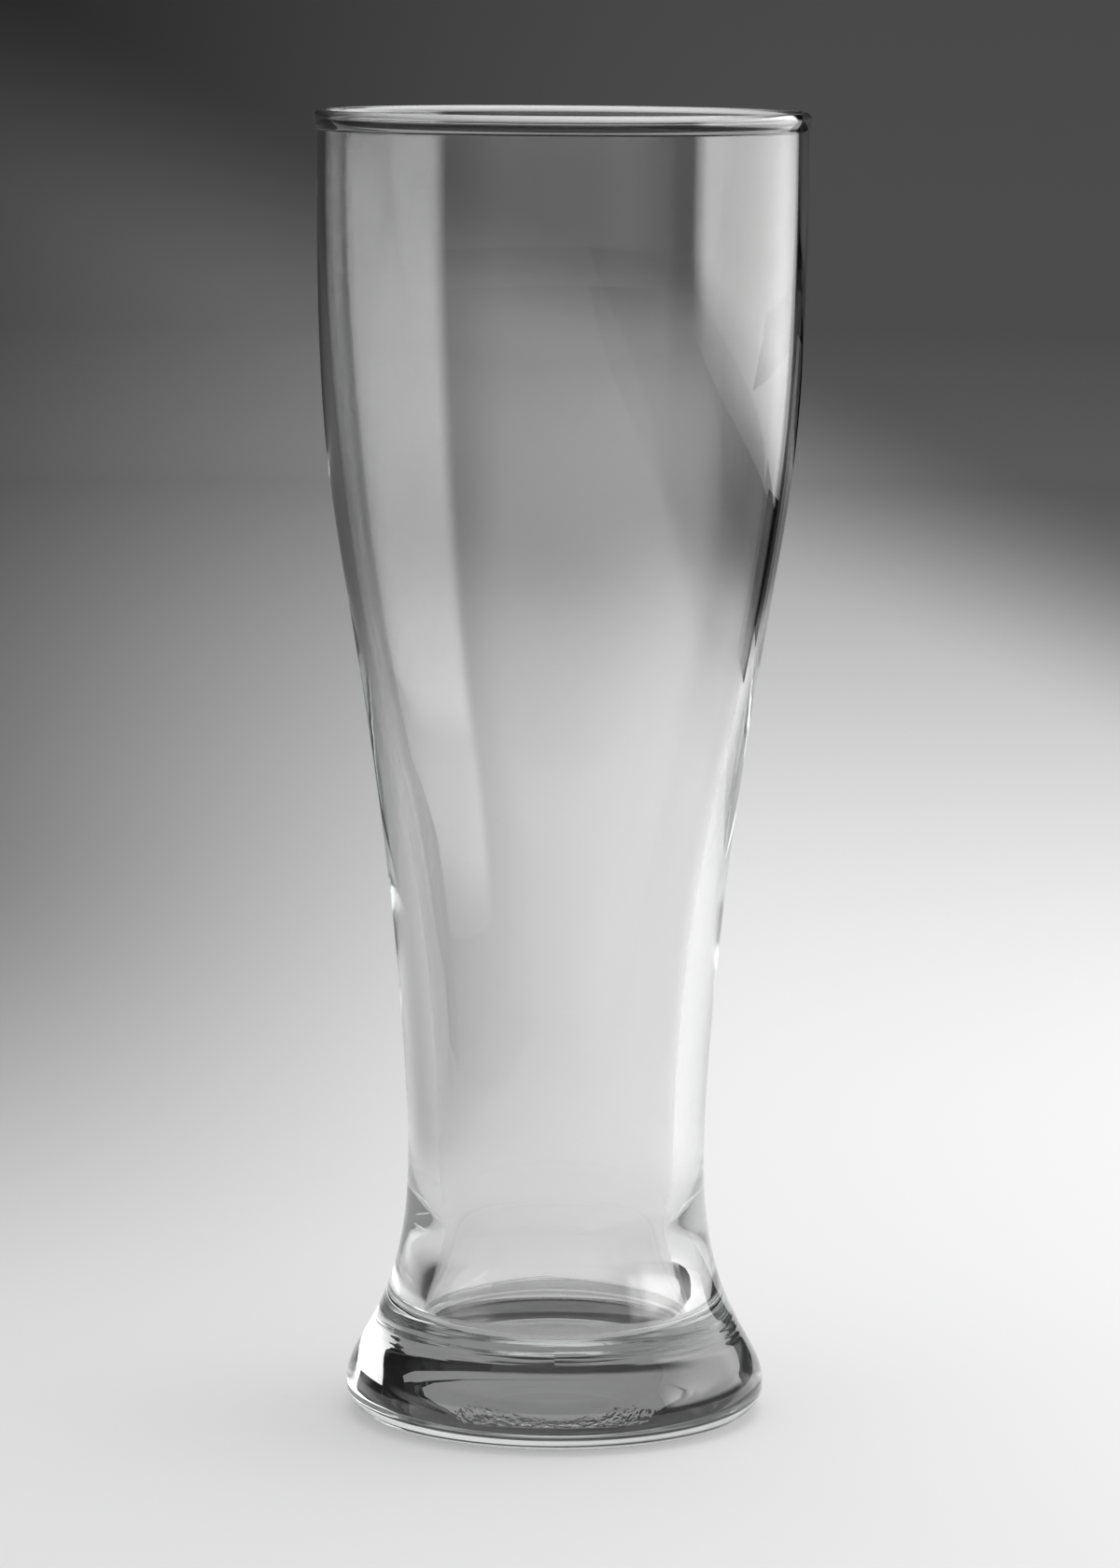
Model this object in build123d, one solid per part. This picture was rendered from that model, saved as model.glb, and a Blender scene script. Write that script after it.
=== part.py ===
from build123d import *
from math import acos, cos, degrees, radians, sin
import os

# A pilsner glass in clear soda-lime glass: millimetres, +Z up, origin on the table under
# the middle of the foot. The real glass is one piece. Its three formed regions are the
# solids here, and they meet on flat rings of glass at the waist and under the rim bead.

# Heights, each measured up from the station before it
EDGE_RISE = 4.8  # table to the widest ring of the foot
FLARE_RISE = 39.2  # widest ring of the foot to the waist
TAPER_RISE = 67.2  # waist to the middle of the taper
SWELL_RISE = 105.8  # middle of the taper to the lip, under the bead
BEAD_SKIRT = 1.8  # lip to the widest ring of the bead
BEAD_CROWN = 1.2  # widest ring of the bead to the very top

# Outside radii
FOOT_RADIUS = 35.5
WAIST_RADIUS = 25.1
TAPER_RADIUS = 31.2
LIP_RADIUS = 40.93

# Thickness of the glass, measured square to the axis at each station
WAIST_WALL = 5.1
TAPER_WALL = 3.05
LIP_WALL = 1.4
BEAD_BULGE = 0.45  # how far the bead stands out from each face of the lip

# The heavy bottom
FLOOR_THICKNESS = 15.4  # table to the floor of the drinking space
FLOOR_FLARE = 3.0  # how much wider the drinking space is at its floor than at the waist
CORNER_RADIUS = 2.2  # between the wall and the floor of the drinking space
EDGE_WIDTH = 4.8  # widest ring of the foot in to the ring that stands on the table
BEARING_WIDTH = 1.8  # flat ring that stands on the table
UNDERSIDE_RISE = 1.7  # shallow hollow inside that ring

# Lean of the wall's faces from upright, in degrees
OUTER_TAPER_LEAN = 8.3
INNER_TAPER_LEAN = 11.8
INNER_FLOOR_LEAN = -18.0

# How long each curve holds the direction of its two ends, as shares of its own span
FLARE_HOLD = (0.20, 0.71)
OUTER_TAPER_HOLD = (0.12, 0.49)
OUTER_SWELL_HOLD = (0.47, 0.58)
INNER_FLARE_HOLD = (0.65, 0.50)
INNER_TAPER_HOLD = (0.47, 0.12)
INNER_SWELL_HOLD = (0.54, 0.24)
UNDERSIDE_HOLD = (0.50, 0.25)

BEARING_RADIUS = FOOT_RADIUS - EDGE_WIDTH
HOLLOW_RADIUS = BEARING_RADIUS - BEARING_WIDTH
WAIST_HEIGHT = EDGE_RISE + FLARE_RISE
TAPER_HEIGHT = WAIST_HEIGHT + TAPER_RISE
LIP_HEIGHT = TAPER_HEIGHT + SWELL_RISE

# Stations of the section, as (radius, height)
EDGE = (FOOT_RADIUS, EDGE_RISE)
OUTER_WAIST = (WAIST_RADIUS, WAIST_HEIGHT)
OUTER_TAPER = (TAPER_RADIUS, TAPER_HEIGHT)
OUTER_LIP = (LIP_RADIUS, LIP_HEIGHT)
INNER_WAIST = (WAIST_RADIUS - WAIST_WALL, WAIST_HEIGHT)
INNER_TAPER = (TAPER_RADIUS - TAPER_WALL, TAPER_HEIGHT)
INNER_LIP = (LIP_RADIUS - LIP_WALL, LIP_HEIGHT)
INNER_CORNER = (INNER_WAIST[0] + FLOOR_FLARE, FLOOR_THICKNESS)


def wall_curve(lower, upper, hold, lower_lean=0.0, upper_lean=0.0):
    """Smooth curve between two stations that leaves each of them at its lean."""
    rise = upper[1] - lower[1]
    lower_arm = hold[0] * rise
    upper_arm = hold[1] * rise
    lower_turn = radians(lower_lean)
    upper_turn = radians(upper_lean)
    leaving = (lower[0] + lower_arm * sin(lower_turn), lower[1] + lower_arm * cos(lower_turn))
    arriving = (upper[0] - upper_arm * sin(upper_turn), upper[1] - upper_arm * cos(upper_turn))
    return Bezier(lower, leaving, arriving, upper)


def underside_curve():
    """Shallow hollow from the axis out to the ring that stands on the table, level at both ends."""
    near_axis = (UNDERSIDE_HOLD[0] * HOLLOW_RADIUS, UNDERSIDE_RISE)
    near_ring = (HOLLOW_RADIUS - UNDERSIDE_HOLD[1] * HOLLOW_RADIUS, 0)
    return Bezier((0, UNDERSIDE_RISE), near_axis, near_ring, (HOLLOW_RADIUS, 0))


def make_foot():
    """Heavy bottom: hollow underside, rounded edge, flare up to the waist, floor of the bowl."""
    with BuildPart() as foot:
        with BuildSketch(Plane.XZ) as section:
            with BuildLine():
                underside_curve()
                Line((HOLLOW_RADIUS, 0), (BEARING_RADIUS, 0))
                EllipticalCenterArc((BEARING_RADIUS, EDGE_RISE), EDGE_WIDTH, EDGE_RISE, -90, arc_size=90)
                wall_curve(EDGE, OUTER_WAIST, FLARE_HOLD)
                Line(OUTER_WAIST, INNER_WAIST)
                wall_curve(INNER_CORNER, INNER_WAIST, INNER_FLARE_HOLD, INNER_FLOOR_LEAN)
                Polyline(INNER_CORNER, (0, FLOOR_THICKNESS), (0, UNDERSIDE_RISE))
            make_face()
            corner = section.vertices().sort_by_distance(INNER_CORNER)[0]
            fillet(corner, CORNER_RADIUS)
        revolve(axis=Axis.Z)
    return foot.part


def make_bowl():
    """Blown wall from the waist to the lip, thinning as it rises."""
    with BuildPart() as bowl:
        with BuildSketch(Plane.XZ):
            with BuildLine():
                wall_curve(OUTER_WAIST, OUTER_TAPER, OUTER_TAPER_HOLD, 0, OUTER_TAPER_LEAN)
                wall_curve(OUTER_TAPER, OUTER_LIP, OUTER_SWELL_HOLD, OUTER_TAPER_LEAN, 0)
                Line(OUTER_LIP, INNER_LIP)
                wall_curve(INNER_TAPER, INNER_LIP, INNER_SWELL_HOLD, INNER_TAPER_LEAN, 0)
                wall_curve(INNER_WAIST, INNER_TAPER, INNER_TAPER_HOLD, 0, INNER_TAPER_LEAN)
                Line(INNER_WAIST, OUTER_WAIST)
            make_face()
        revolve(axis=Axis.Z)
    return bowl.part


def make_rim():
    """Fire-polished bead: a round crown over a skirt that closes in to the thickness of the lip."""
    half_wall = LIP_WALL / 2
    half_width = half_wall + BEAD_BULGE
    centre = (LIP_RADIUS - half_wall, LIP_HEIGHT + BEAD_SKIRT)
    skirt_angle = acos(half_wall / half_width)
    skirt_turn = degrees(skirt_angle)
    skirt_depth = BEAD_SKIRT / sin(skirt_angle)
    with BuildPart() as rim:
        with BuildSketch(Plane.XZ):
            with BuildLine():
                EllipticalCenterArc(centre, half_width, BEAD_CROWN, 0, arc_size=180)
                EllipticalCenterArc(centre, half_width, skirt_depth, 180, arc_size=skirt_turn)
                EllipticalCenterArc(centre, half_width, skirt_depth, -skirt_turn, arc_size=skirt_turn)
                Line(INNER_LIP, OUTER_LIP)
            make_face()
        revolve(axis=Axis.Z)
    return rim.part


REGIONS = {"rim": make_rim, "bowl": make_bowl, "foot": make_foot}

os.makedirs("parts", exist_ok=True)
for name, make_region in REGIONS.items():
    export_step(make_region(), os.path.join("parts", name + ".step"))
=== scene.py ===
import math
import bpy
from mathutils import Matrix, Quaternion, Vector


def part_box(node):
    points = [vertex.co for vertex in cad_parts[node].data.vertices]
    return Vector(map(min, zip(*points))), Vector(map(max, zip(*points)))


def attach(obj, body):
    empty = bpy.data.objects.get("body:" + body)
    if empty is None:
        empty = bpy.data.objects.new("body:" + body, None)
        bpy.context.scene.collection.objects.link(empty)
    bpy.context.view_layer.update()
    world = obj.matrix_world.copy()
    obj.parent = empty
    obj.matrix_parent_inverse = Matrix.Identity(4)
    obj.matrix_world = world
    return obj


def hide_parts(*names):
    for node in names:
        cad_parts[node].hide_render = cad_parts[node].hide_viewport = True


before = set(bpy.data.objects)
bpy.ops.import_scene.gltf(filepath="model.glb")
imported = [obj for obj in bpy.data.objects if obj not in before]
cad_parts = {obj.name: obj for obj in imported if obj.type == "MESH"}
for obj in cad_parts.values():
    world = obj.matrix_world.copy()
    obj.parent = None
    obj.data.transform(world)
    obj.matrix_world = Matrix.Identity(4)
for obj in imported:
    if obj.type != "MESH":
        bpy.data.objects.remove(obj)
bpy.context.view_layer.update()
scene = bpy.context.scene
scene.view_settings.view_transform = "Standard"
mm = 0.001
softRamp = {"interpolation_type": "SMOOTHSTEP"}


def linear(code):  # sRGB hex to Blender's linear colour
    parts = [int(code[i:i + 2], 16) / 255 for i in (1, 3, 5)]
    return tuple(c / 12.92 if c <= 0.04045 else ((c + 0.055) / 1.055) ** 2.4 for c in parts) + (1.0,)


def addNode(tree, kind, settings=None, inputs=()):  # inputs in order or by name: values, outputs or nodes
    node = tree.nodes.new(kind)
    for name, value in (settings or {}).items():
        setattr(node, name, value)
    for socket, value in inputs.items() if isinstance(inputs, dict) else enumerate(inputs):
        if isinstance(value, bpy.types.Node):
            value = value.outputs[0]
        if isinstance(value, bpy.types.NodeSocket):
            tree.links.new(value, node.inputs[socket])
        else:
            node.inputs[socket].default_value = value
    return node


def newMaterial(name):
    material = bpy.data.materials.new(name)
    material.use_nodes = True
    material.node_tree.nodes.clear()
    return material, material.node_tree


def addObject(name, data):
    made = bpy.data.objects.new(name, data)
    scene.collection.objects.link(made)
    return made


def aim(thing, forward, roll):
    thing.rotation_mode = "QUATERNION"
    turn = Quaternion((0, 0, 1), math.radians(roll))
    thing.rotation_quaternion = Vector(forward).to_track_quat("-Z", "Y") @ turn


# The glass: one turned section, in millimetres. Its top, lip, waist and foot come from the frame
glass = {
    "edgeRise": 4.8,  # table to the widest ring of the foot
    "edgeWidth": 4.8,  # widest ring of the foot in to the ring on the table
    "bearingWidth": 1.8,  # flat ring on the table
    "undersideRise": 1.7,
    "floorThickness": 15.4,
    "floorFlare": 3.0,  # how much wider the inside is at its floor than at the waist
    "cornerRadius": 2.2,
    "waistRadius": 25.1,
    "waistWall": 5.1,
    "taperHeight": 111.2,
    "taperRadius": 31.2,
    "taperWall": 3.05,
    "lipWall": 1.4,
    "beadBulge": 0.45,
    "beadCrown": 1.2,
    "beadMelt": 0.35,  # the bead runs softly into the wall this far above and below the lip
    "outerLean": 8.3,  # degrees from upright at the middle of the taper
    "innerLean": 11.8,
    "floorLean": -18.0,
    "undersideHold": (0.50, 0.25),  # share of its span for which each curve holds the way its two ends point
    "flareHold": (0.20, 0.71),
    "outerTaperHold": (0.12, 0.49),
    "outerSwellHold": (0.47, 0.58),
    "innerFlareHold": (0.65, 0.50),
    "innerTaperHold": (0.47, 0.12),
    "innerSwellHold": (0.54, 0.24),
    "around": 256,
    "steps": 20,  # points along each stretch of the section
    "waver": 0.03,  # how far the free inner face wanders
    "waverWidth": 16.0,
    "waverLength": 140.0,
    "waverHeight": (30.0, 90.0),  # it begins between these heights
    "waverDetail": 1.5,
    "waverRoughness": 0.45,
    "beadWobble": 0.05,
    "beadWaves": 60.0,  # to the metre
    "beadDetail": 1.0,
    "beadRise": 2.0,  # height over the lip at which the wobble is full
    "seed": 7,
    "joinGap": 0.002,  # points nearer to each other than this become one
}

footBox, bowlBox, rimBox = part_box("foot"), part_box("bowl"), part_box("rim")
footRadius = footBox[1][0] / mm
waistHeight = footBox[1][2] / mm
lipHeight = bowlBox[1][2] / mm
beadTop = rimBox[1][2] / mm
lipRadius = rimBox[1][0] / mm - glass["beadBulge"]


# A stretch of the section is one curve: its two ends, with a handle for each between them
def wallStretch(lower, upper, hold, lowerLean=0.0, upperLean=0.0):
    lowerArm, upperArm = (share * (upper[1] - lower[1]) for share in hold)
    a, b = math.radians(lowerLean), math.radians(upperLean)
    leaving = (lower[0] + lowerArm * math.sin(a), lower[1] + lowerArm * math.cos(a))
    arriving = (upper[0] - upperArm * math.sin(b), upper[1] - upperArm * math.cos(b))
    return [lower, leaving, arriving, upper]


def arcStretch(centre, width, height, start, turn):
    reach = 4 / 3 * math.tan(turn / 4)  # handle length of a round arc
    points = []
    for angle, way in ((start, 1), (start + turn, -1)):
        x, y = math.cos(angle), math.sin(angle)
        points += [(x, y), (x - way * reach * y, y + way * reach * x)][::way]
    return [(centre[0] + width * x, centre[1] + height * y) for x, y in points]


def between(a, b, t):
    return (a[0] + (b[0] - a[0]) * t, a[1] + (b[1] - a[1]) * t)


def direction(a, b):
    return Vector((b[0] - a[0], b[1] - a[1])).normalized()


def lineStretch(a, b):
    return [a, between(a, b, 1 / 3), between(a, b, 2 / 3), b]


def backwards(stretch):
    return stretch[::-1]


def splitStretch(stretch, t):
    a, b, c = (between(stretch[i], stretch[i + 1], t) for i in range(3))
    d, e = between(a, b, t), between(b, c, t)
    middle = between(d, e, t)
    return [stretch[0], a, d, middle], [middle, e, c, stretch[3]]


def findShare(holds, halvings=40):  # how far along a stretch the test still holds
    low, high = 0.0, 1.0
    for _ in range(halvings):
        share = (low + high) / 2
        low, high = (share, high) if holds(share) else (low, share)
    return share


def cutStretch(stretch, height):  # splits where a rising stretch reaches the height
    return splitStretch(stretch, findShare(lambda t: splitStretch(stretch, t)[0][3][1] < height))


def blendStretch(before, after):  # short round between two stretches that don't quite meet
    reach = math.dist(before[3], after[0]) / 3
    out, into = direction(before[2], before[3]) * reach, direction(after[0], after[1]) * reach
    leaving = (before[3][0] + out.x, before[3][1] + out.y)
    arriving = (after[0][0] - into.x, after[0][1] - into.y)
    return [before[3], leaving, arriving, after[0]]


def cornerRound(floor, radius, wall):  # round from the level floor into the wall, and the rest of the wall
    def centreAt(t):
        point, handle = splitStretch(wall, t)[1][:2]
        along = direction(point, handle)
        return (point[0] - radius * along.y, point[1] + radius * along.x)

    share = findShare(lambda t: centreAt(t)[1] < floor + radius)
    centre, rest = centreAt(share), splitStretch(wall, share)[1]
    start = -math.pi / 2
    end = math.atan2(rest[0][1] - centre[1], rest[0][0] - centre[0])
    return arcStretch(centre, radius, radius, start, end - start), rest


def glassSection():
    g = glass
    bearing = footRadius - g["edgeWidth"]
    hollow = bearing - g["bearingWidth"]
    floor = g["floorThickness"]
    edge = (footRadius, g["edgeRise"])
    outerWaist = (g["waistRadius"], waistHeight)
    innerWaist = (g["waistRadius"] - g["waistWall"], waistHeight)
    outerTaper = (g["taperRadius"], g["taperHeight"])
    innerTaper = (g["taperRadius"] - g["taperWall"], g["taperHeight"])
    outerLip = (lipRadius, lipHeight)
    innerLip = (lipRadius - g["lipWall"], lipHeight)
    corner = (innerWaist[0] + g["floorFlare"], floor)
    halfWall = g["lipWall"] / 2
    beadWidth = halfWall + g["beadBulge"]
    bead = (lipRadius - halfWall, beadTop - g["beadCrown"])
    skirt = math.acos(halfWall / beadWidth)
    skirtDepth = (bead[1] - lipHeight) / math.sin(skirt)
    quarter = math.pi / 2

    nearAxis = (g["undersideHold"][0] * hollow, g["undersideRise"])
    nearRing = ((1 - g["undersideHold"][1]) * hollow, 0)
    wholeFlare = wallStretch(corner, innerWaist, g["innerFlareHold"], g["floorLean"])
    cornerArc, innerFlare = cornerRound(floor, g["cornerRadius"], wholeFlare)
    outerSwell = wallStretch(outerTaper, outerLip, g["outerSwellHold"], g["outerLean"])
    innerSwell = wallStretch(innerTaper, innerLip, g["innerSwellHold"], g["innerLean"])
    outerSkirt = arcStretch(bead, beadWidth, skirtDepth, -skirt, skirt)
    innerSkirt = backwards(arcStretch(bead, beadWidth, skirtDepth, math.pi, skirt))

    # where the bead melts into the wall, both are cut back to make room for a soft run
    under, over = lipHeight - g["beadMelt"], lipHeight + g["beadMelt"]
    outerSwell, innerSwell = (cutStretch(swell, under)[0] for swell in (outerSwell, innerSwell))
    outerSkirt, innerSkirt = (cutStretch(side, over)[1] for side in (outerSkirt, innerSkirt))

    return [
        [(0, g["undersideRise"]), nearAxis, nearRing, (hollow, 0)],
        lineStretch((hollow, 0), (bearing, 0)),
        arcStretch((bearing, g["edgeRise"]), g["edgeWidth"], g["edgeRise"], -quarter, quarter),
        wallStretch(edge, outerWaist, g["flareHold"]),
        wallStretch(outerWaist, outerTaper, g["outerTaperHold"], 0, g["outerLean"]),
        outerSwell,
        blendStretch(outerSwell, outerSkirt),
        outerSkirt,
        arcStretch(bead, beadWidth, g["beadCrown"], 0, quarter),
        arcStretch(bead, beadWidth, g["beadCrown"], quarter, quarter),
        backwards(innerSkirt),
        backwards(blendStretch(innerSwell, innerSkirt)),
        backwards(innerSwell),
        backwards(wallStretch(innerWaist, innerTaper, g["innerTaperHold"], 0, g["innerLean"])),
        backwards(innerFlare),
        backwards(cornerArc),
        lineStretch(cornerArc[0], (0, floor)),
    ]


def sectionCurve():
    stretches = glassSection()
    data = bpy.data.curves.new("glassSection", "CURVE")
    data.dimensions = "3D"
    spline = data.splines.new("BEZIER")
    spline.resolution_u = glass["steps"]
    spline.bezier_points.add(len(stretches))
    place = lambda p: (p[0] * mm, 0, p[1] * mm)
    for i, point in enumerate(spline.bezier_points):
        before, after = stretches[max(i - 1, 0)], stretches[min(i, len(stretches) - 1)]
        point.handle_left_type = point.handle_right_type = "FREE"
        point.co = place(after[0] if i < len(stretches) else before[3])
        point.handle_left = place(before[2] if i else after[0])
        point.handle_right = place(after[1] if i < len(stretches) else before[3])
    return addObject("glassSection", data)


def turnedGlassTree():
    tree = bpy.data.node_groups.new("turnedGlass", "GeometryNodeTree")
    kinds = {
        "Section": "Object", "Around": "Int", "Seed": "Int", "Glass": "Material",
        "Inner waver": "Float", "Waver width": "Float", "Waver length": "Float",
        "Bead wobble": "Float", "Bead height": "Float",
    }
    made = {}
    for name, kind in kinds.items():
        socket = tree.interface.new_socket(name, in_out="INPUT", socket_type="NodeSocket" + kind)
        made[name] = socket.identifier
    tree.interface.new_socket("Geometry", in_out="OUTPUT", socket_type="NodeSocketGeometry")
    given = addNode(tree, "NodeGroupInput").outputs

    # section as points, then a sheet with one row of points for each turn
    drawn = addNode(tree, "GeometryNodeObjectInfo", {"transform_space": "ORIGINAL"}, (given["Section"],))
    points = addNode(tree, "GeometryNodeResampleCurve", {"mode": "EVALUATED"}, (drawn.outputs["Geometry"],))
    size = addNode(tree, "GeometryNodeAttributeDomainSize", {"component": "CURVE"}, (points,))
    count = size.outputs["Point Count"]
    rows = addNode(tree, "ShaderNodeMath", {"operation": "ADD"}, (given["Around"], 1))
    sheet = addNode(tree, "GeometryNodeMeshGrid", inputs={"Vertices X": rows, "Vertices Y": count})
    index = addNode(tree, "GeometryNodeInputIndex")
    step = addNode(tree, "FunctionNodeIntegerMath", {"operation": "MODULO"}, (index, count))
    turn = addNode(tree, "FunctionNodeIntegerMath", {"operation": "DIVIDE_FLOOR"}, (index, count))
    share = addNode(tree, "ShaderNodeMath", {"operation": "DIVIDE"}, (turn, given["Around"]))
    angle = addNode(tree, "ShaderNodeMath", {"operation": "MULTIPLY"}, (share, 2 * math.pi))
    here = addNode(tree, "GeometryNodeInputPosition")
    tangent = addNode(tree, "GeometryNodeInputTangent")
    spot, heading = (
        addNode(tree, "GeometryNodeSampleIndex", {"data_type": "FLOAT_VECTOR"},
                {"Geometry": points, "Value": value, "Index": step})
        for value in (here, tangent))
    turned = addNode(tree, "ShaderNodeVectorRotate", {"rotation_type": "Z_AXIS"},
                     {"Vector": spot, "Angle": angle})
    height = addNode(tree, "ShaderNodeSeparateXYZ", inputs=(spot,)).outputs["Z"]

    # the inner face was blown free of the mould, so it wanders in long upright waves
    thinner, longer = (
        addNode(tree, "ShaderNodeMath", {"operation": "DIVIDE"}, (1.0, given[name]))
        for name in ("Waver width", "Waver length"))
    stretch = addNode(tree, "ShaderNodeCombineXYZ", inputs=(thinner, thinner, longer))
    scaled = addNode(tree, "ShaderNodeVectorMath", {"operation": "MULTIPLY"}, (turned, stretch))
    noise = addNode(tree, "ShaderNodeTexNoise", {"noise_dimensions": "4D"}, {
        "Vector": scaled, "W": given["Seed"], "Scale": 1.0,
        "Detail": glass["waverDetail"], "Roughness": glass["waverRoughness"]})
    inner = addNode(tree, "ShaderNodeMath", {"operation": "MULTIPLY_ADD"}, (noise, 2.0, -1.0))  # both ways
    upward = addNode(tree, "ShaderNodeSeparateXYZ", inputs=(heading,)).outputs["Z"]
    downhill = addNode(tree, "ShaderNodeMath", {"operation": "MULTIPLY", "use_clamp": True}, (upward, -1.0))
    begins, full = (edge * mm for edge in glass["waverHeight"])
    overFoot = addNode(tree, "ShaderNodeMapRange", softRamp, (height, begins, full))
    for factor in (given["Inner waver"], downhill, overFoot):
        inner = addNode(tree, "ShaderNodeMath", {"operation": "MULTIPLY"}, (inner, factor))

    # the melted bead is never quite even
    beadNoise = addNode(tree, "ShaderNodeTexNoise", {"noise_dimensions": "4D"}, {
        "Vector": turned, "W": given["Seed"], "Scale": glass["beadWaves"], "Detail": glass["beadDetail"]})
    bead = addNode(tree, "ShaderNodeMath", {"operation": "MULTIPLY_ADD"}, (beadNoise, 2.0, -1.0))
    above = addNode(tree, "ShaderNodeMath", {"operation": "SUBTRACT"}, (height, given["Bead height"]))
    overLip = addNode(tree, "ShaderNodeMapRange", softRamp, (above, 0.0, glass["beadRise"] * mm))
    for factor in (given["Bead wobble"], overLip):
        bead = addNode(tree, "ShaderNodeMath", {"operation": "MULTIPLY"}, (bead, factor))

    flat = addNode(tree, "ShaderNodeVectorMath", {"operation": "MULTIPLY"}, (turned, (1, 1, 0)))
    outward = addNode(tree, "ShaderNodeVectorMath", {"operation": "NORMALIZE"}, (flat,))
    shift = addNode(tree, "ShaderNodeMath", {"operation": "ADD"}, (inner, bead))
    offset = addNode(tree, "ShaderNodeVectorMath", {"operation": "SCALE"}, {0: outward, "Scale": shift})
    placed = addNode(tree, "GeometryNodeSetPosition",
                     inputs={"Geometry": sheet, "Position": turned, "Offset": offset})
    closed = addNode(tree, "GeometryNodeMergeByDistance",
                     inputs={"Geometry": placed, "Distance": glass["joinGap"] * mm})
    smooth = addNode(tree, "GeometryNodeSetShadeSmooth", inputs={"Geometry": closed})
    real = addNode(tree, "GeometryNodeRealizeInstances", inputs={"Geometry": smooth})
    painted = addNode(tree, "GeometryNodeSetMaterial", inputs={"Geometry": real, "Material": given["Glass"]})
    addNode(tree, "NodeGroupOutput", inputs=(painted,))
    return tree, made


# Marks that the mould leaves: a ragged ring round the foot and another under it, in millimetres
marks = {
    "ringHeight": (13.2, 17.8),
    "ringRadius": 30.0,
    "ringOutside": 26.5,  # keeps the ring off the inner face
    "ringGrain": (24.0, 1.00),  # along the ring and up the wall
    "ringDetail": 1.5,
    "ringDepth": 0.140,
    "underRadius": (12.0, 15.5),
    "underMiddle": 13.0,
    "underBelow": 3.0,  # keeps the ring off the floor of the bowl
    "underFront": (-5.0, -11.5),  # worn away behind these distances from the axis
    "underGrain": (1.1, 0.45),  # around the axis and out from it
    "underDetail": 2.0,
    "underDepth": 0.034,
    "fullShare": 0.3,  # share of a ring's width that is cut to its full depth
}
# Clear soda-lime glass, pressed and blown: colourless, mirror-smooth and bright at the edges
sodaLime = {
    "surface": "#F3F3F3",
    "roughness": 0.0,
    "ior": 1.52,
    "tint": "#EBEDEC",
    "density": 9.0,
    "shadow": ("#FFFFFF", "#EEEEEE"),  # lamp light that passes face on and edge on
    "shadowBlend": 0.35,
}


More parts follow.
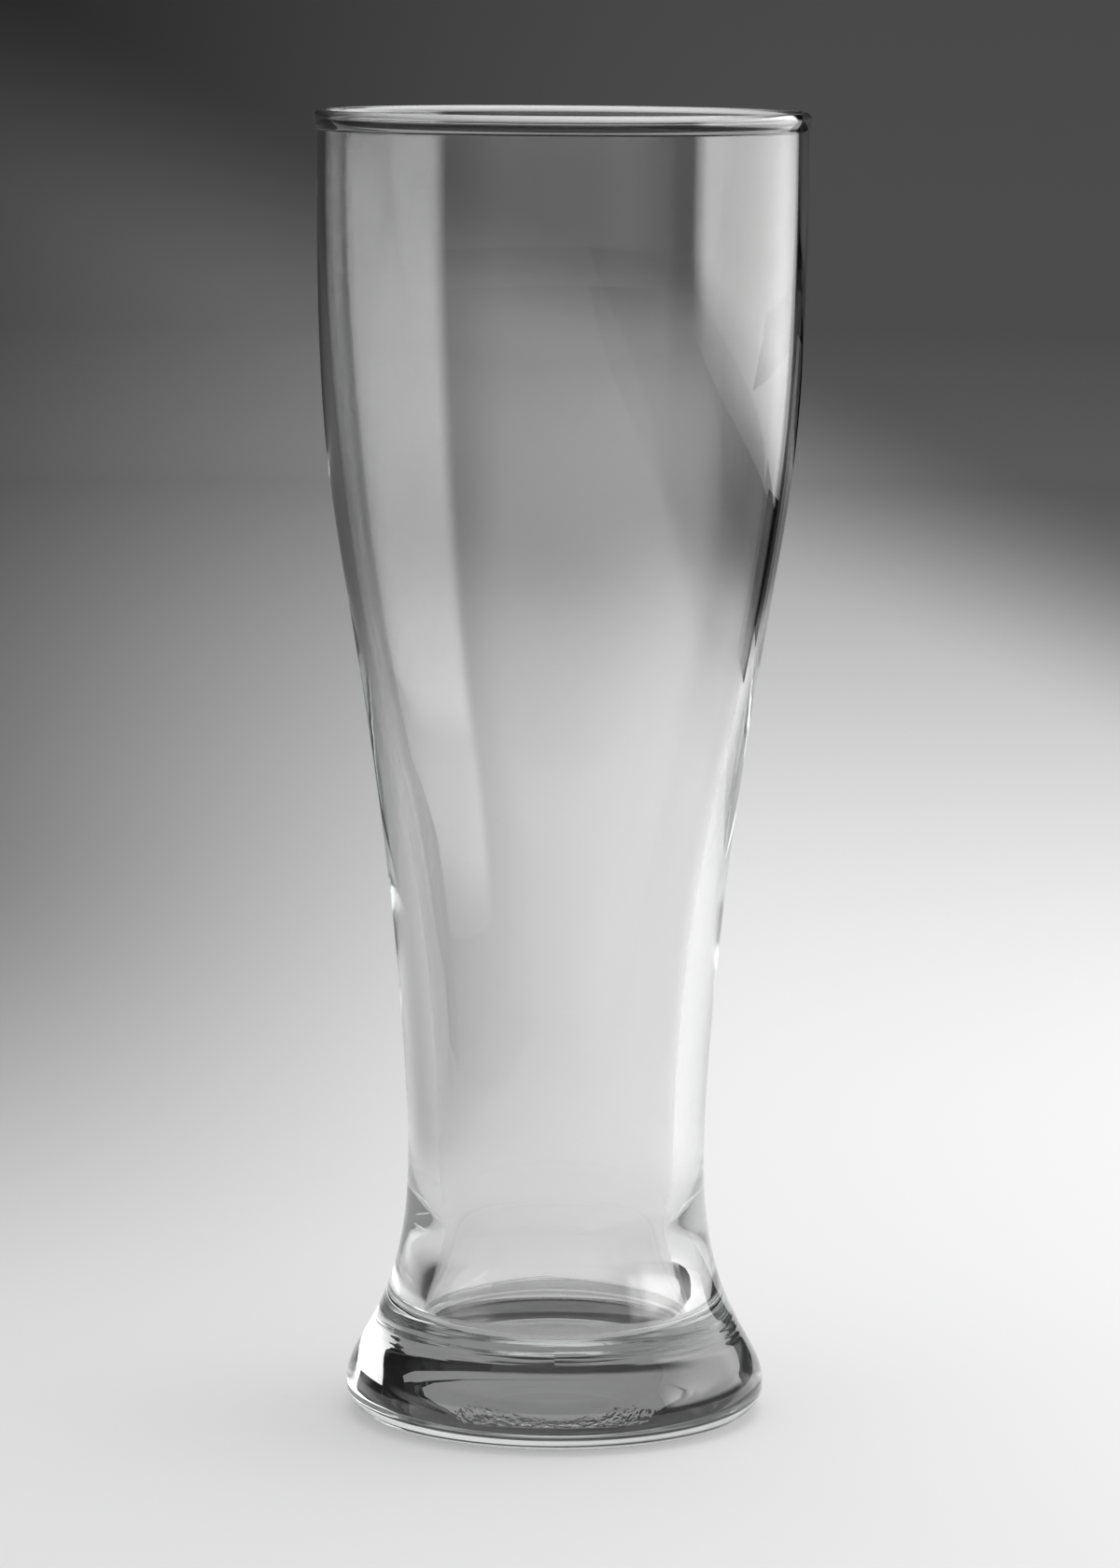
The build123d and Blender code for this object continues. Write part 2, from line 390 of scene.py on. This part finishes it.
def clearGlass():
    material, tree = newMaterial("clearSodaLimeGlass")
    spot = addNode(tree, "ShaderNodeTexCoord").outputs["Object"]
    x, y, height = addNode(tree, "ShaderNodeSeparateXYZ", inputs=(spot,)).outputs
    flat = addNode(tree, "ShaderNodeVectorMath", {"operation": "MULTIPLY"}, (spot, (1, 1, 0)))
    radius = addNode(tree, "ShaderNodeVectorMath", {"operation": "LENGTH"}, (flat,)).outputs["Value"]
    turn = addNode(tree, "ShaderNodeMath", {"operation": "ARCTAN2"}, (x, y))

    def grain(across, middle, size, detail):  # noise drawn out round the axis
        along = addNode(tree, "ShaderNodeMath", {"operation": "MULTIPLY"}, (turn, middle / size[0]))
        over = addNode(tree, "ShaderNodeMath", {"operation": "MULTIPLY"}, (across, 1 / (size[1] * mm)))
        strokes = addNode(tree, "ShaderNodeCombineXYZ", inputs=(along, over))
        return addNode(tree, "ShaderNodeTexNoise", {"noise_dimensions": "2D"},
                       {"Vector": strokes, "Scale": 1.0, "Detail": detail})

    def band(source, low, high):  # full in the middle and gone at both edges
        middle, half = (low + high) / 2 * mm, (high - low) / 2 * mm
        aside = addNode(tree, "ShaderNodeMath", {"operation": "SUBTRACT"}, (source, middle))
        away = addNode(tree, "ShaderNodeMath", {"operation": "ABSOLUTE"}, (aside,))
        return addNode(tree, "ShaderNodeMapRange", softRamp, (away, half, marks["fullShare"] * half))

    innermost, highest = marks["ringOutside"] * mm, marks["underBelow"] * mm
    worn, whole = (edge * mm for edge in marks["underFront"])
    outside = addNode(tree, "ShaderNodeMath", {"operation": "GREATER_THAN"}, (radius, innermost))
    below = addNode(tree, "ShaderNodeMath", {"operation": "LESS_THAN"}, (height, highest))
    front = addNode(tree, "ShaderNodeMapRange", softRamp, (y, worn, whole))
    ring = (grain(height, marks["ringRadius"], marks["ringGrain"], marks["ringDetail"]),
            band(height, *marks["ringHeight"]), outside, marks["ringDepth"])
    under = (grain(radius, marks["underMiddle"], marks["underGrain"], marks["underDetail"]),
             band(radius, *marks["underRadius"]), below, front, marks["underDepth"])
    cuts = []
    for cut, *factors in (ring, under):
        for factor in factors:
            cut = addNode(tree, "ShaderNodeMath", {"operation": "MULTIPLY"}, (cut, factor))
        cuts.append(cut)
    depth = addNode(tree, "ShaderNodeMath", {"operation": "ADD"}, cuts)
    pressed = addNode(tree, "ShaderNodeBump", inputs={"Strength": 1.0, "Distance": mm, "Height": depth})

    glossy = addNode(tree, "ShaderNodeBsdfPrincipled", inputs={
        "Base Color": linear(sodaLime["surface"]), "Roughness": sodaLime["roughness"],
        "IOR": sodaLime["ior"], "Transmission Weight": 1.0, "Normal": pressed})
    facing = addNode(tree, "ShaderNodeLayerWeight", inputs={"Blend": sodaLime["shadowBlend"]})
    passes = addNode(tree, "ShaderNodeValToRGB", inputs=(facing.outputs["Facing"],))
    for element, colour in zip(passes.color_ramp.elements, sodaLime["shadow"]):
        element.color = linear(colour)
    clear = addNode(tree, "ShaderNodeBsdfTransparent", inputs=(passes,))
    ray = addNode(tree, "ShaderNodeLightPath")
    lamps = addNode(tree, "ShaderNodeMixShader", inputs=(ray.outputs["Is Shadow Ray"], glossy, clear))
    tint = addNode(tree, "ShaderNodeVolumeAbsorption",
                   inputs={"Color": linear(sodaLime["tint"]), "Density": sodaLime["density"]})
    addNode(tree, "ShaderNodeOutputMaterial", inputs={"Surface": lamps, "Volume": tint})
    return material


def turnGlass():
    curve = sectionCurve()
    tree, made = turnedGlassTree()
    blank = addObject("glassBlank", bpy.data.meshes.new("glassBlank"))
    turner = blank.modifiers.new("turnedGlass", "NODES")
    turner.node_group = tree
    given = {
        "Section": curve,
        "Around": glass["around"],
        "Inner waver": glass["waver"] * mm,
        "Waver width": glass["waverWidth"] * mm,
        "Waver length": glass["waverLength"] * mm,
        "Bead wobble": glass["beadWobble"] * mm,
        "Bead height": lipHeight * mm,
        "Seed": glass["seed"],
        "Glass": clearGlass(),
    }
    for name, value in given.items():
        turner[made[name]] = value
    depsgraph = bpy.context.evaluated_depsgraph_get()
    mesh = bpy.data.meshes.new_from_object(blank.evaluated_get(depsgraph))
    mesh.name = "pilsnerGlass"
    bpy.data.objects.remove(blank)
    bpy.data.objects.remove(curve)
    print("glass:", len(mesh.polygons), "faces")
    return addObject("pilsnerGlass", mesh)


piece = turnGlass()
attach(piece, "root")
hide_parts("rim", "bowl", "foot")

# The table and the paper behind it: pale round the glass, with painted shade that darkens it to grey at the
# left and far behind
stage = {
    "radius": 2.2,
    "height": 0.36,
    "bend": 0.30,
    "bendSteps": 24,
    "turns": 128,
    "middle": 0.4,  # inner ring of the flat part
    "below": 0.0002,  # just under the foot
    "wallRise": (-0.25, 0.25),  # shares of the radius between which the wall comes up
    "paper": "#EDEDED",
    # The fades are painted shade in the paper's colour: light falloff to the left and far behind, and a
    # painted shadow edge slanting across the far right
    "drawnFrom": (1.0, 0.242),  # where the fades fan out: metres before the glass and over the table
    "nearest": 0.3,
    "leftPaintedShade": (0.039, -0.138, 0.2),  # painted falloff; metres aside for each metre away: start, end, what is left
    "leftRise": (-0.257, -0.14),  # metres up for each metre away
    "topPaintedShade": (-0.115, -0.065, 0.805),
    "cornerPaintedShadow": (-0.085, -0.043, 0.324),
    "cornerLean": 0.47,
    "wallPaintedShade": (0.0, 0.064, 0.674),  # metres up: painted shade that evens out the light where the paper bends
}


# Matt paper: no shine; its fades are painted shade, light falloff and a shadow edge painted into its colour
def paperMaterial():
    material, tree = newMaterial("paperWithPaintedShade")
    spot = addNode(tree, "ShaderNodeTexCoord").outputs["Object"]
    across, deep, height = addNode(tree, "ShaderNodeSeparateXYZ", inputs=(spot,)).outputs
    before, eye = stage["drawnFrom"]
    distance = addNode(tree, "ShaderNodeMath", {"operation": "ADD"}, (deep, before))
    away = addNode(tree, "ShaderNodeMath", {"operation": "MAXIMUM"}, (distance, stage["nearest"]))
    over = addNode(tree, "ShaderNodeMath", {"operation": "SUBTRACT"}, (height, eye))
    aside, rise = (
        addNode(tree, "ShaderNodeMath", {"operation": "DIVIDE"}, (side, away)) for side in (across, over))
    slant = addNode(tree, "ShaderNodeMath", {"operation": "MULTIPLY_ADD"},
                    (aside, stage["cornerLean"], rise))

    # painted shade: each fade darkens the paper's colour where light falls off
    fades = {}
    for name, source, ramp in (("leftPaintedShade", aside, softRamp), ("topPaintedShade", rise, softRamp),
                               ("cornerPaintedShadow", slant, softRamp), ("wallPaintedShade", height, None)):
        start, end, left = stage[name]
        fades[name] = addNode(tree, "ShaderNodeMapRange", ramp, (source, start, end, 1.0, left))
    low = addNode(tree, "ShaderNodeMapRange", softRamp, (rise, *stage["leftRise"], 1.0, 0.0))
    level = addNode(tree, "ShaderNodeMix", {"data_type": "FLOAT"},
                    {"Factor": low, "A": fades["leftPaintedShade"], "B": 1.0})  # no painted shade at the left near the front
    for name in ("wallPaintedShade", "topPaintedShade", "cornerPaintedShadow"):
        level = addNode(tree, "ShaderNodeMath", {"operation": "MULTIPLY"}, (level, fades[name]))
    shade = addNode(tree, "ShaderNodeMix", {"data_type": "RGBA"},
                    {"Factor": level, "A": (0, 0, 0, 1), "B": linear(stage["paper"])})
    paper = addNode(tree, "ShaderNodeBsdfDiffuse", inputs={"Color": shade.outputs["Result"]})
    addNode(tree, "ShaderNodeOutputMaterial", inputs={"Surface": paper})
    return material


def turnedSheet(name, rows, turns, material):
    low, high = stage["wallRise"]
    around = [2 * math.pi * j / turns for j in range(turns)]
    verts = []
    for r, z in rows:
        for angle in around:
            x, y = math.cos(angle), math.sin(angle)
            share = min(max((y - low) / (high - low), 0), 1) if z > 0 else 1
            verts.append((r * x, r * y, z * share))
    faces = []
    for i in range(0, (len(rows) - 1) * turns, turns):
        for j in range(turns):
            k = (j + 1) % turns
            faces.append((i + j, i + k, i + turns + k, i + turns + j))
    mesh = bpy.data.meshes.new(name)
    mesh.from_pydata(verts, [], faces)
    mesh.shade_smooth()
    mesh.materials.append(material)
    return addObject(name, mesh)


def layTable():
    bend, below, steps = stage["bend"], stage["below"], stage["bendSteps"]
    flat = stage["radius"] - bend
    rows = [(radius, -below) for radius in (0.0, stage["middle"], flat)]
    for i in range(1, steps + 1):
        a = math.pi / 2 * i / steps
        rows.append((flat + bend * math.sin(a), bend - bend * math.cos(a) - below))
    rows.append((stage["radius"], stage["height"]))
    turnedSheet("paperTable", rows, stage["turns"], paperMaterial())


layTable()
print("table laid")

# Soft studio light: a long softbox at the right and a lamp overhead
lights = {
    "right softbox": {
        "spot": (0.60, 0.118, 0.252),
        "size": (0.985, 0.395),
        "facing": (-0.97, -0.243, 0.0),
        "roll": -5.0,
        "level": (4.7, 2.7),  # at its two ends
        "dimming": (  # along X or up Y, as shares: where it starts and ends, and what is left
            ("X", 0.14, 0.0, 0.25),
            ("X", 0.72, 1.0, 0.45),
            ("Y", 0.30, 0.95, 0.1),
            ("Y", 0.13, 0.0, 0.2),
        ),
        "mirrored": True,
    },
    "overhead": {
        "spot": (0.25, 0.25, 1.20),
        "size": (1.00, 1.00),
        "facing": (-0.1, -0.1, -1.0),
        "roll": 0.0,
        "level": (3.2, 3.2),
        "dimming": (),
        "mirrored": False,  # only lights the table
    },
}
# The room round the table: bright behind the camera and to the left
room = {
    "towards": (-0.45, -0.89, 0.0),  # middle of the bright side
    "turn": (0.10, 0.60),  # from the back round to that side
    "front": (1.35, 0.12, 0.60),  # low, between and high
    "frontRise": (0.19, 0.27),  # as the sine of the angle above the table
    "frontTop": (0.47, 0.58),
    "frontFoot": (-0.05, 0.16, 0.60),  # darker again under the horizon
    "back": (0.03, 0.27),
    "backRise": (0.192, 0.228),
    "backLeft": (-0.75, -0.40, 0.04),  # darker behind on the left
    "roof": (0.05, 0.95),
    "roofRise": (0.88, 0.95),
    "roofEdge": (0.72, 0.84),
}
# Black cards that show only in the glass, as painted dark reflections and refractions for its dark edges.
# Heights are at their right and left ends
flags = {
    "tall flag": {"spot": (0.332, 0.511), "width": 0.11, "bottom": 0.0, "heights": (0.24, 0.14)},
    "low flag": {"spot": (0.328, 0.308), "width": 0.15, "bottom": 0.0, "heights": (0.075, 0.085)},
    "flag tail": {"spot": (0.205, 0.564), "width": 0.222, "bottom": 0.105, "heights": (0.160, 0.130)},
    # painted dark reflection that darkens the bead
    "bar": {"spot": (0.0, 0.22), "width": 0.44, "bottom": 0.243, "heights": (0.325, 0.325)},
}
paintedDarkBlack = "#0C0C0C"


def hangLights():
    for name, light in lights.items():
        data = bpy.data.lights.new(name, "AREA")
        data.shape = "RECTANGLE"
        data.size, data.size_y = light["size"]
        data.energy = math.pi * data.size * data.size_y  # one unit of radiance, which the cloth then scales
        data.use_nodes = True
        cloth = data.node_tree
        place = addNode(cloth, "ShaderNodeNewGeometry")
        share = addNode(cloth, "ShaderNodeSeparateXYZ", inputs=(place.outputs["Parametric"],))
        strength = addNode(cloth, "ShaderNodeMapRange", inputs=(share, 0.0, 1.0, *light["level"]))
        for side, start, end, left in light["dimming"]:
            dim = addNode(cloth, "ShaderNodeMapRange", softRamp, (share.outputs[side], start, end, 1.0, left))
            strength = addNode(cloth, "ShaderNodeMath", {"operation": "MULTIPLY"}, (strength, dim))
        cloth.links.new(strength.outputs[0], cloth.nodes["Emission"].inputs["Strength"])
        lamp = addObject(name, data)
        lamp.location = light["spot"]
        aim(lamp, light["facing"], light["roll"])
        lamp.visible_camera = False
        lamp.visible_glossy = lamp.visible_transmission = light["mirrored"]


def paintRoom():
    world = bpy.data.worlds.new("room")
    world.use_nodes = True
    tree = world.node_tree
    spot = addNode(tree, "ShaderNodeTexCoord").outputs["Generated"]
    across, _, height = addNode(tree, "ShaderNodeSeparateXYZ", inputs=(spot,)).outputs
    facing = addNode(tree, "ShaderNodeVectorMath", {"operation": "DOT_PRODUCT"}, (spot, room["towards"]))
    ahead = facing.outputs["Value"]
    low, middle, high = room["front"]
    foot = addNode(tree, "ShaderNodeMapRange", softRamp, (height, *room["frontFoot"], low))
    body = addNode(tree, "ShaderNodeMapRange", softRamp, (height, *room["frontRise"], foot, middle))
    front = addNode(tree, "ShaderNodeMapRange", softRamp, (height, *room["frontTop"], body, high))
    backLow, backHigh = room["back"]
    upper = addNode(tree, "ShaderNodeMapRange", softRamp, (across, *room["backLeft"], backHigh))
    back = addNode(tree, "ShaderNodeMapRange", softRamp, (height, *room["backRise"], backLow, upper))
    around = addNode(tree, "ShaderNodeMapRange", softRamp, (ahead, *room["turn"], back, front))
    roof = addNode(tree, "ShaderNodeMapRange", softRamp, (height, *room["roofRise"], *room["roof"]))
    level = addNode(tree, "ShaderNodeMapRange", softRamp, (height, *room["roofEdge"], around, roof))
    background = tree.nodes["Background"]
    background.inputs["Color"].default_value = (1, 1, 1, 1)
    tree.links.new(level.outputs[0], background.inputs["Strength"])
    scene.world = world


# Near-black matt sheet for the painted dark reflections: dull, and sends almost no light back
def paintedDarkSheet():
    material, tree = newMaterial("paintedDarkSheet")
    cloth = addNode(tree, "ShaderNodeBsdfDiffuse", inputs={"Color": linear(paintedDarkBlack)})
    addNode(tree, "ShaderNodeOutputMaterial", inputs={"Surface": cloth})
    return material


def standFlags():
    cloth = paintedDarkSheet()
    for name, flag in flags.items():
        middle = Vector(flag["spot"] + (0,))
        side = Vector((-middle.y, middle.x, 0)).normalized() * flag["width"] / 2  # each faces the glass
        right, left = middle - side, middle + side
        low, rightTop, leftTop = (Vector((0, 0, height)) for height in (flag["bottom"], *flag["heights"]))
        corners = [right + low, left + low, left + leftTop, right + rightTop]
        mesh = bpy.data.meshes.new(name)
        mesh.from_pydata(corners, [], [(0, 1, 2, 3)])
        mesh.materials.append(cloth)
        card = addObject(name, mesh)
        card.visible_camera = card.visible_shadow = card.visible_diffuse = False


hangLights()
paintRoom()
standFlags()
print("lights hung")

# Long lens, a little above the rim, as in the picture
view = {
    "spot": (0.00025, -1.00284, 0.24206),
    "down": 7.661,  # degrees
    "roll": 0.40,
    "lens": 137.86,
    "sensor": 36,
    "nearest": 0.01,
    "bounces": 64,  # so that light finds its way through the heavy foot
}


def setCamera():
    data = bpy.data.cameras.new("camera")
    data.sensor_width = view["sensor"]
    data.lens = view["lens"]
    data.clip_start = view["nearest"]
    camera = addObject("camera", data)
    camera.location = view["spot"]
    down = math.radians(view["down"])
    aim(camera, (0, math.cos(down), -math.sin(down)), view["roll"])
    scene.camera = camera


def setRays():
    cycles = scene.cycles
    cycles.max_bounces = cycles.transmission_bounces = cycles.glossy_bounces = view["bounces"]
    cycles.caustics_refractive = cycles.caustics_reflective = False


setCamera()
setRays()
print("camera set")
